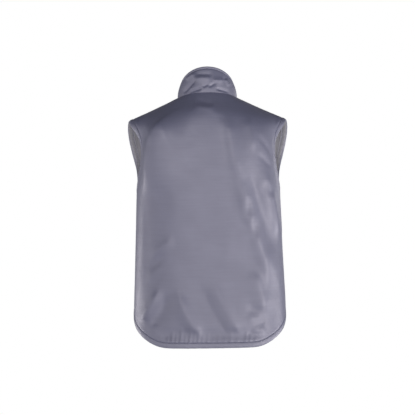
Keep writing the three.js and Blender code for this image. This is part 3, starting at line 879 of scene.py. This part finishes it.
def edge_line(node_name, outward, chosen, order):
    """The chosen outer rim of a CAD wall as a line of points, put in order"""
    bm = merged_wall(node_name)
    line = set()
    for edge in rim_edges(bm):
        middle = (edge.verts[0].co + edge.verts[1].co) / 2
        faces_out = max(face.normal.dot(outward(middle)) for face in edge.link_faces) > 0.5
        if faces_out and chosen(middle):
            line.update(vert.co.to_tuple() for vert in edge.verts)
    bm.free()
    return sorted(line, key=order)


# %% Tape stitches
SEWN_REACH = 0.0016
BODY_HALF_WIDTH = 0.2
BODY_HALF_DEPTH = 0.12
ARMHOLE_Y = -0.004
ARMHOLE_Z = -0.16


def from_body(point):
    """The way out of an oval body at a point"""
    across = point.x / BODY_HALF_WIDTH ** 2
    return Vector((across, point.y / BODY_HALF_DEPTH ** 2, 0)).normalized()


def round_body(point):
    """The angle of a point round the body"""
    return math.atan2(point[0] / BODY_HALF_WIDTH, point[1] / BODY_HALF_DEPTH)


hem_sewn = rim_tree(*PANELS)
hem_line = edge_line(
    "hem_binding", from_body, lambda p: hem_sewn.find(p)[2] < SEWN_REACH, round_body)
threads_sewn = [stitch_row("hem_stitches", hem_line, hem_tape)]
for side, tape in zip((1, -1), armhole_tapes):
    word = "left" if side > 0 else "right"
    sewn_edge = rim_tree("back_panel", "front_" + word)
    armhole_line = edge_line(
        "armhole_binding_" + word, lambda p: Vector((side, 0, 0)),
        lambda p: sewn_edge.find(p)[2] < SEWN_REACH,
        lambda p: math.atan2(p[1] - ARMHOLE_Y, p[2] - ARMHOLE_Z))
    threads_sewn.append(
        stitch_row("armhole_stitches_" + word, armhole_line, tape, closed=True))

# %% Collar stitches
NECK_Y = -0.01
COLLAR_EDGE_REACH = 0.004


def from_neck(point):
    """The way out of the neck at a point"""
    return Vector((point.x, point.y - NECK_Y, 0)).normalized()


collar_line = edge_line(
    "collar", from_neck, lambda p: collar_height(np.array([p]))[0] > -COLLAR_EDGE_REACH,
    lambda p: math.atan2(p[0], p[1] - NECK_Y))
collar_line = [(x, y, z - COLLAR_EDGE_WIDTH) for x, y, z in collar_line]
threads_sewn.append(stitch_row("collar_stitches", collar_line, collar))

# %% [markdown]
# ## Zip
# The front closes with one long zip, from the hem to the top of the collar. Its tape is a strip
# drawn along the front edge, its teeth are small bevelled blocks that stand in two rows and reach
# between each other, and the slider sits closed at the top with its pull hanging down.

# %% Zip line
ZIP_STEP = 0.006
ZIP_MARGIN = 0.001
CHAIN_DEPTH = 0.002
BEFORE_FRONT = -0.4
ACROSS = Vector((1, 0, 0))

zip_tree = BVHTree.FromObject(nodes["front_zip"], bpy.context.evaluated_depsgraph_get())
zip_low, zip_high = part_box("front_zip")
zip_line = []
for z in np.arange(zip_low[2] + ZIP_MARGIN, zip_high[2] - ZIP_MARGIN, ZIP_STEP):
    place = zip_tree.ray_cast(Vector((0, BEFORE_FRONT, z)), Vector((0, 1, 0)))[0]
    if place:
        zip_line.append(place)
zip_steps = len(zip_line) - 1


def zip_frame(share):
    """Place on the zip chain at a share of its points, with its upward and outward ways"""
    at = share * zip_steps
    low = min(int(at), zip_steps - 1)
    place = zip_line[low].lerp(zip_line[low + 1], at - low)
    up = (zip_line[low + 1] - zip_line[low]).normalized()
    out = ACROSS.cross(up).normalized()
    turn = Matrix((ACROSS, up, out)).transposed().to_4x4()
    return Matrix.Translation(place - out * CHAIN_DEPTH) @ turn


print("zip line of", len(zip_line), "points")

# %% Zip tape
TAPE_HALF = 0.0046
ZIP_TAPE_THICK = 0.0012

bm = bmesh.new()
row = [bm.verts.new((x * TAPE_HALF, 0, 0)) for x in (-1, -0.5, 0, 0.5, 1)]
edges = [bm.edges.new(pair) for pair in zip(row[:-1], row[1:])]
bmesh.ops.transform(bm, matrix=zip_frame(0), verts=row)
for step in range(1, len(zip_line)):
    grown = bmesh.ops.extrude_edge_only(bm, edges=edges)["geom"]
    edges = [item for item in grown if isinstance(item, bmesh.types.BMEdge)]
    row = [item for item in grown if isinstance(item, bmesh.types.BMVert)]
    before = zip_frame((step - 1) / zip_steps)
    after = zip_frame(step / zip_steps)
    bmesh.ops.transform(bm, matrix=after @ before.inverted(), verts=row)
bmesh.ops.recalc_face_normals(bm, faces=bm.faces)
bmesh.ops.solidify(bm, geom=bm.faces, thickness=ZIP_TAPE_THICK)
zip_tape_mesh = finished_mesh(bm, "zip_tape")
zip_tape = add_piece("zip_tape", zip_tape_mesh, ["front_zip"])
print("zip tape", len(zip_tape_mesh.polygons), "faces")

# %% Zip teeth
TOOTH_PITCH = 0.0028
TOOTH_SIZE = (0.0034, 0.0015, 0.0024)
TOOTH_BEVEL = 0.0003
TOOTH_ASIDE = 0.0011
TOOTH_PROUD = 0.0008


def rounded_block(size, rounding, segments):
    """A block with bevelled edges, as a mesh"""
    bm = bmesh.new()
    bmesh.ops.create_cube(bm, size=1, matrix=Matrix.Diagonal(size).to_4x4())
    bmesh.ops.bevel(bm, geom=bm.edges, offset=rounding, offset_type="OFFSET", affect="EDGES",
                    segments=segments, profile=0.5, material=-1)
    return finished_mesh(bm, "block")


def set_block(bm, block, place):
    """Add a copy of a block to a bmesh at its place"""
    count_before = len(bm.verts)
    bm.from_mesh(block)
    bm.verts.ensure_lookup_table()
    bmesh.ops.transform(bm, matrix=place, verts=bm.verts[count_before:])


tooth = rounded_block(TOOTH_SIZE, TOOTH_BEVEL, 1)
zip_length = sum((b - a).length for a, b in zip(zip_line[:-1], zip_line[1:]))
teeth = int(zip_length / TOOTH_PITCH * 2)
bm = bmesh.new()
for index in range(teeth):
    aside = TOOTH_ASIDE if index % 2 else -TOOTH_ASIDE
    stand = Matrix.Translation((aside, 0, TOOTH_PROUD))
    set_block(bm, tooth, zip_frame((index + 0.5) / teeth) @ stand)
bpy.data.meshes.remove(tooth)
zip_teeth_mesh = finished_mesh(bm, "zip_teeth")
zip_teeth = add_piece("zip_teeth", zip_teeth_mesh, [])
zip_teeth_mesh.shade_flat()
print("zip teeth", teeth)

# %% Zip slider
SLIDER_PLACE = 0.985
SLIDER_BLOCKS = [
    # size, middle and edge rounding of the body, the bridge and the pull
    ((0.0086, 0.0115, 0.0052), (0, 0, 0.0012), 0.0012),
    ((0.0026, 0.0085, 0.002), (0, 0, 0.0044), 0.0008),
    ((0.0052, 0.022, 0.0014), (0, -0.0125, 0.0048), 0.0006),
]

bm = bmesh.new()
for size, middle, rounding in SLIDER_BLOCKS:
    block = rounded_block(size, rounding, 3)
    set_block(bm, block, zip_frame(SLIDER_PLACE) @ Matrix.Translation(middle))
    bpy.data.meshes.remove(block)
zip_slider_mesh = finished_mesh(bm, "zip_slider")
zip_slider = add_piece("zip_slider", zip_slider_mesh, [])
print("zip slider", len(zip_slider_mesh.polygons), "faces")

# %% [markdown]
# ## Cloth finish
# The shell is a plain-woven polyester with a satin face: grey with a violet cast, a little
# sheen, faint slubs along the weft and a fine weave that only shows close up. The lining inside
# is its own cloth. Its colour is partly its own and partly painted light: it is much lighter than
# the shell so that the shaded inside reads as lit. So every vertex carries a mark of how far it
# faces the hollow. The weave and the uneven dye with the painted-light lining are node groups, so
# that the bindings, the thread and the zip tape can use them with their own values.

# %% Cloth coordinates
BODY_CLOTH_RADIUS = 0.165
NECK_CLOTH_RADIUS = 0.08
LINING_WITH_PAINTED_LIGHT_FACING = (0.2, 0.45)


def lay_cloth(piece, radius):
    """A UV map in metres: round the body one way, up it the other"""
    mesh = piece.data
    points = places(mesh)
    angle = np.arctan2(points[:, 0] / BODY_HALF_WIDTH, points[:, 1] / BODY_HALF_DEPTH)
    flat = np.stack([angle * radius, points[:, 2]], 1)
    corners = np.empty(len(mesh.loops), np.int32)
    mesh.loops.foreach_get("vertex_index", corners)
    layer = mesh.uv_layers.new(name="cloth")
    layer.uv.foreach_set("vector", flat[corners].ravel())


def mark_lining_with_painted_light(piece, hollow_middle, hollow_bottom):
    """How far every vertex faces the hollow of the vest, where the lining shows with its painted
    light
    """
    out = ways_out(places(piece.data), hollow_middle, hollow_bottom)
    facing = -row_dots(vertex_normals(piece.data), out)
    layer = piece.data.attributes.new("inside", "FLOAT", "POINT")
    layer.data.foreach_set("value", ramp(facing, *LINING_WITH_PAINTED_LIGHT_FACING))


for piece in (back, front_left, front_right, hem_tape, *armhole_tapes):
    lay_cloth(piece, BODY_CLOTH_RADIUS)
    mark_lining_with_painted_light(piece, BODY_MIDDLE, BODY_BOTTOM)
lay_cloth(collar, NECK_CLOTH_RADIUS)
mark_lining_with_painted_light(collar, NECK_MIDDLE, NECK_BOTTOM)
print("cloth laid on the panels, the collar and the tapes")

# %% Weave group
def new_group(name, inputs, outputs):
    """A shader node group with named sockets, and its input and output nodes"""
    group = bpy.data.node_groups.new(name, "ShaderNodeTree")
    for socket, kind, value in inputs:
        made = group.interface.new_socket(socket, in_out="INPUT", socket_type=kind)
        if value is not None:
            made.default_value = value
    for socket, kind in outputs:
        group.interface.new_socket(socket, in_out="OUTPUT", socket_type=kind)
    return group, group.nodes.new("NodeGroupInput"), group.nodes.new("NodeGroupOutput")


weave, weave_in, weave_out = new_group(
    "plain_weave",
    [("Cloth", "NodeSocketVector", None), ("Threads", "NodeSocketFloat", 700)],
    [("Height", "NodeSocketFloat")])
threads = []
for direction in ("X", "Y"):
    wave = weave.nodes.new("ShaderNodeTexWave")
    wave.bands_direction = direction
    wave.inputs["Distortion"].default_value = 0.6
    wave.inputs["Detail"].default_value = 1
    weave.links.new(weave_in.outputs["Cloth"], wave.inputs["Vector"])
    weave.links.new(weave_in.outputs["Threads"], wave.inputs["Scale"])
    threads.append(wave)
over = weave.nodes.new("ShaderNodeMath")
over.operation = "MAXIMUM"
weave.links.new(threads[0].outputs["Fac"], over.inputs[0])
weave.links.new(threads[1].outputs["Fac"], over.inputs[1])
weave.links.new(over.outputs["Value"], weave_out.inputs["Height"])
print("weave group of", len(weave.nodes), "nodes")

# %% Dye group
dye, dye_in, dye_out = new_group(
    "uneven_dye_and_lining_light",
    [("Cloth", "NodeSocketVector", None), ("Light", "NodeSocketColor", None),
     ("Dark", "NodeSocketColor", None), ("Lining_with_painted_light", "NodeSocketColor", None),
     ("Inside", "NodeSocketFloat", 0)],
    [("Color", "NodeSocketColor"), ("Shine", "NodeSocketFloat"), ("Slub", "NodeSocketFloat")])
cloud = dye.nodes.new("ShaderNodeTexNoise")
cloud.inputs["Scale"].default_value = 18
cloud.inputs["Detail"].default_value = 5
slub_turn = dye.nodes.new("ShaderNodeMapping")
slub_turn.inputs["Scale"].default_value = (16, 230, 1)
slub = dye.nodes.new("ShaderNodeTexNoise")
slub.inputs["Scale"].default_value = 1
slub.inputs["Detail"].default_value = 2
both = dye.nodes.new("ShaderNodeMath")
both.operation = "MULTIPLY_ADD"
both.inputs[1].default_value = 0.7
blend_dye = dye.nodes.new("ShaderNodeMix")
blend_dye.data_type = "RGBA"
# Where a vertex faces the hollow, the lining colour replaces the dye; its lightness is partly
# painted light for the shade inside
blend_lining_with_painted_light = dye.nodes.new("ShaderNodeMix")
blend_lining_with_painted_light.data_type = "RGBA"
shine = dye.nodes.new("ShaderNodeMapRange")
shine.inputs["From Min"].default_value = 0.4
shine.inputs["From Max"].default_value = 1.3
shine.inputs["To Min"].default_value = 0.34
shine.inputs["To Max"].default_value = 0.5
dye.links.new(dye_in.outputs["Cloth"], cloud.inputs["Vector"])
dye.links.new(dye_in.outputs["Cloth"], slub_turn.inputs["Vector"])
dye.links.new(slub_turn.outputs["Vector"], slub.inputs["Vector"])
dye.links.new(slub.outputs["Fac"], both.inputs[0])
dye.links.new(cloud.outputs["Fac"], both.inputs[2])
dye.links.new(both.outputs["Value"], blend_dye.inputs["Factor"])
dye.links.new(dye_in.outputs["Light"], blend_dye.inputs["A"])
dye.links.new(dye_in.outputs["Dark"], blend_dye.inputs["B"])
dye.links.new(dye_in.outputs["Inside"], blend_lining_with_painted_light.inputs["Factor"])
dye.links.new(blend_dye.outputs["Result"], blend_lining_with_painted_light.inputs["A"])
dye.links.new(dye_in.outputs["Lining_with_painted_light"], blend_lining_with_painted_light.inputs["B"])
dye.links.new(blend_lining_with_painted_light.outputs["Result"], dye_out.inputs["Color"])
dye.links.new(slub.outputs["Fac"], dye_out.inputs["Slub"])
dye.links.new(both.outputs["Value"], shine.inputs["Value"])
dye.links.new(shine.outputs["Result"], dye_out.inputs["Shine"])
print("dye group of", len(dye.nodes), "nodes")

# %% Cloth materials
# The lining is lighter than the shell, partly its own colour and partly painted light that makes
# the shaded inside look lit
LINING_WITH_PAINTED_LIGHT_COLOUR = (0.6, 0.59, 0.64, 1)


def cloth_material(name, light, dark, threads_scale, laid=True):
    """Satin cloth; its pattern follows the laid cloth, or else the object's own space"""
    material = bpy.data.materials.new(name)
    material.use_nodes = True
    tree = material.node_tree
    surface = tree.nodes["Principled BSDF"]
    surface.inputs["IOR"].default_value = 2.0
    surface.inputs["Specular IOR Level"].default_value = 0.9
    surface.inputs["Specular Tint"].default_value = (1, 0.94, 1, 1)
    if laid:
        cloth_map = tree.nodes.new("ShaderNodeUVMap")
        cloth_map.uv_map = "cloth"
        cloth_place = cloth_map.outputs["UV"]
        # The inside mark says where the lining, painted lighter as painted light, takes over from
        # the shell colour
        inside = tree.nodes.new("ShaderNodeAttribute")
        inside.attribute_name = "inside"
    else:
        cloth_place = tree.nodes.new("ShaderNodeTexCoord").outputs["Object"]
    dyed = tree.nodes.new("ShaderNodeGroup")
    dyed.node_tree = dye
    dyed.inputs["Light"].default_value = light
    dyed.inputs["Dark"].default_value = dark
    dyed.inputs["Lining_with_painted_light"].default_value = LINING_WITH_PAINTED_LIGHT_COLOUR
    if laid:
        tree.links.new(inside.outputs["Fac"], dyed.inputs["Inside"])
    woven = tree.nodes.new("ShaderNodeGroup")
    woven.node_tree = weave
    woven.inputs["Threads"].default_value = threads_scale
    slubbed = tree.nodes.new("ShaderNodeBump")
    slubbed.inputs["Strength"].default_value = 0.3
    slubbed.inputs["Distance"].default_value = 0.0006
    bump = tree.nodes.new("ShaderNodeBump")
    bump.inputs["Strength"].default_value = 0.12
    bump.inputs["Distance"].default_value = 0.0002
    tree.links.new(cloth_place, dyed.inputs["Cloth"])
    tree.links.new(cloth_place, woven.inputs["Cloth"])
    tree.links.new(dyed.outputs["Color"], surface.inputs["Base Color"])
    tree.links.new(dyed.outputs["Shine"], surface.inputs["Roughness"])
    tree.links.new(dyed.outputs["Slub"], slubbed.inputs["Height"])
    tree.links.new(slubbed.outputs["Normal"], bump.inputs["Normal"])
    tree.links.new(woven.outputs["Height"], bump.inputs["Height"])
    tree.links.new(bump.outputs["Normal"], surface.inputs["Normal"])
    return material


shell_cloth = cloth_material(
    "satin_shell", (0.21, 0.218, 0.355, 1), (0.165, 0.172, 0.285, 1), 700)
tape_cloth = cloth_material(
    "satin_tape", (0.24, 0.246, 0.38, 1), (0.20, 0.206, 0.32, 1), 560)
thread_cloth = cloth_material(
    "sewing_thread", (0.26, 0.265, 0.39, 1), (0.2, 0.205, 0.31, 1), 1500, laid=False)
zip_cloth = cloth_material(
    "zip_tape_weave", (0.16, 0.162, 0.24, 1), (0.13, 0.132, 0.2, 1), 900, laid=False)


def dress(material, *pieces):
    """Give some pieces their one material"""
    for piece in pieces:
        piece.data.materials.clear()
        piece.data.materials.append(material)
    print(material.name, "on", len(pieces), "pieces")


dress(shell_cloth, back, front_left, front_right, collar)
dress(tape_cloth, hem_tape, *armhole_tapes)
dress(thread_cloth, *threads_sewn)
dress(zip_cloth, zip_tape)

# %% [markdown]
# ## Zip finish
# The teeth and the slider are moulded and painted in the colour of the cloth. A little noise in
# colour and roughness keeps them from looking like bare plastic.

# %% Zip materials
def moulded_material(name, light, dark, smoothest, roughest):
    """Moulded plastic with a fine speckle in its colour and its gloss"""
    material = bpy.data.materials.new(name)
    material.use_nodes = True
    tree = material.node_tree
    surface = tree.nodes["Principled BSDF"]
    own_space = tree.nodes.new("ShaderNodeTexCoord")
    speckle = tree.nodes.new("ShaderNodeTexNoise")
    speckle.inputs["Scale"].default_value = 600
    speckle.inputs["Detail"].default_value = 4
    tint = tree.nodes.new("ShaderNodeMix")
    tint.data_type = "RGBA"
    tint.inputs["A"].default_value = light
    tint.inputs["B"].default_value = dark
    gloss = tree.nodes.new("ShaderNodeMapRange")
    gloss.inputs["To Min"].default_value = smoothest
    gloss.inputs["To Max"].default_value = roughest
    grain = tree.nodes.new("ShaderNodeBump")
    grain.inputs["Strength"].default_value = 0.15
    grain.inputs["Distance"].default_value = 0.0001
    tree.links.new(own_space.outputs["Object"], speckle.inputs["Vector"])
    tree.links.new(speckle.outputs["Fac"], tint.inputs["Factor"])
    tree.links.new(speckle.outputs["Fac"], gloss.inputs["Value"])
    tree.links.new(speckle.outputs["Fac"], grain.inputs["Height"])
    tree.links.new(tint.outputs["Result"], surface.inputs["Base Color"])
    tree.links.new(gloss.outputs["Result"], surface.inputs["Roughness"])
    tree.links.new(grain.outputs["Normal"], surface.inputs["Normal"])
    return material


teeth_finish = moulded_material(
    "moulded_teeth", (0.13, 0.13, 0.18, 1), (0.1, 0.1, 0.14, 1), 0.35, 0.5)
dress(teeth_finish, zip_teeth)
slider_finish = moulded_material(
    "painted_slider", (0.1, 0.1, 0.13, 1), (0.07, 0.07, 0.1, 1), 0.25, 0.4)
dress(slider_finish, zip_slider)
